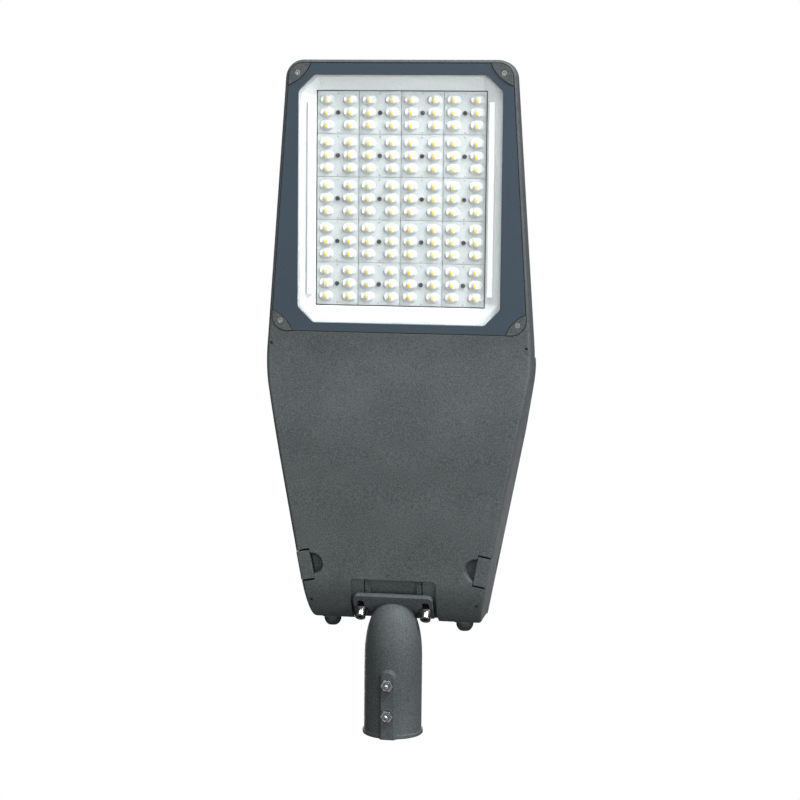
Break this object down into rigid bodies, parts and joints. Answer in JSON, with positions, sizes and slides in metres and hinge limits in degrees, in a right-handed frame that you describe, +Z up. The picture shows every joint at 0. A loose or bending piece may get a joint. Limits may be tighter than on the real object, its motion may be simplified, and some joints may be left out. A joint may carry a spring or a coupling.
{
  "type": "street light head",
  "caption": "Flat street-light head with a glass-covered lens array, a deep driver box with a latched top cover, and a tilting socket for a pole top or bracket arm.",
  "frame": {"origin": "centre of the pole socket's mouth", "axes": "+Y along the socket towards the nose, +Z up with the light shining down, +X to the right as seen from the tail"},
  "size_m": [0.3214, 0.8092, 0.1535],
  "materials": {
    "grey_casting": "textured dark grey powder coat on die-cast aluminium",
    "steel": "bright stainless steel",
    "dark_steel": "dark stainless screws",
    "window_glass": "tempered glass with a printed slate border",
    "black_rubber": "matt silicone rubber",
    "white_plastic": "satin white moulding",
    "lens_plastic": "clear moulded lens plate",
    "white_board": "white solder mask",
    "led_phosphor": "yellow phosphor",
    "galvanised_sheet": "galvanised sheet",
    "driver_case": "anodised case",
    "blue_plastic": "moulded case",
    "light_plastic": "moulded terminal block",
    "black_plastic": "moulded nylon",
    "lead_sheath": "flexible sheath"
  },
  "bodies": {
    "adaptor": {"spigot_adaptor": "grey_casting", "clamp_lock_nuts": "steel"},
    "clamp_screw_mouth": {"clamp_screw_mouth": "steel"},
    "clamp_screw_inner": {"clamp_screw_inner": "steel"},
    "housing": {"main_housing": "grey_casting", "tilt_bolts": "steel", "plain_washers": "steel", "spring_washers": "steel", "hinge_pins": "steel", "window_glass": "window_glass", "glass_gasket": "black_rubber", "corner_clamp_nose_left": "grey_casting", "corner_clamp_nose_right": "grey_casting", "corner_clamp_tail_left": "grey_casting", "corner_clamp_tail_right": "grey_casting", "corner_clamp_screws": "steel", "reflector_frame": "white_plastic", "lens_module_01": "lens_plastic", "lens_module_02": "lens_plastic", "lens_module_03": "lens_plastic", "lens_module_04": "lens_plastic", "lens_module_05": "lens_plastic", "lens_module_06": "lens_plastic", "lens_module_07": "lens_plastic", "lens_module_08": "lens_plastic", "lens_module_09": "lens_plastic", "lens_module_10": "lens_plastic", "lens_module_11": "lens_plastic", "lens_module_12": "lens_plastic", "lens_module_13": "lens_plastic", "lens_module_14": "lens_plastic", "lens_module_15": "lens_plastic", "lens_module_16": "lens_plastic", "lens_module_17": "lens_plastic", "lens_module_18": "lens_plastic", "lens_module_19": "lens_plastic", "lens_module_20": "lens_plastic", "led_board_1": "white_board", "led_board_2": "white_board", "led_board_3": "white_board", "led_board_4": "white_board", "led_chips": "led_phosphor", "lens_screws": "dark_steel", "gear_tray": "galvanised_sheet", "tray_screws": "steel", "led_driver": "driver_case", "surge_protector": "blue_plastic", "terminal_block": "light_plastic", "terminal_screws": "steel", "cable_glands": "black_plastic", "gland_seals": "black_rubber", "gland_lock_nuts": "black_plastic", "seat_grommet": "black_rubber", "lead_grommet": "black_rubber", "internal_leads": "lead_sheath", "lid_gasket": "black_rubber", "latch_pins": "steel"},
    "cover": {"top_cover": "grey_casting"},
    "latch_right": {"latch_right": "grey_casting"},
    "latch_left": {"latch_left": "grey_casting"}
  },
  "joints": [
    {"name": "tilt", "type": "hinge", "parent": "adaptor", "child": "housing", "pos_m": [0, 0.19121, 0.04101], "axis": [1, 0, 0], "range_deg": [-10, 10]},
    {"name": "cover_hinge", "type": "hinge", "parent": "housing", "child": "cover", "pos_m": [0, 0.46221, 0.056], "axis": [-1, 0, 0], "range_deg": [0, 75]},
    {"name": "latch_right_swing", "type": "hinge", "parent": "housing", "child": "latch_right", "pos_m": [0.11014, 0.20283, 0.075], "axis": [-0.187, -0.9824, 0], "range_deg": [0, 100]},
    {"name": "latch_left_swing", "type": "hinge", "parent": "housing", "child": "latch_left", "pos_m": [-0.11014, 0.20283, 0.075], "axis": [-0.187, 0.9824, 0], "range_deg": [0, 100]},
    {"name": "clamp_screw_mouth_travel", "type": "slide", "parent": "adaptor", "child": "clamp_screw_mouth", "axis": [0, 0, 1], "range_m": [0, 0.004]},
    {"name": "clamp_screw_inner_travel", "type": "slide", "parent": "adaptor", "child": "clamp_screw_inner", "axis": [0, 0, 1], "range_m": [0, 0.004]}
  ]
}
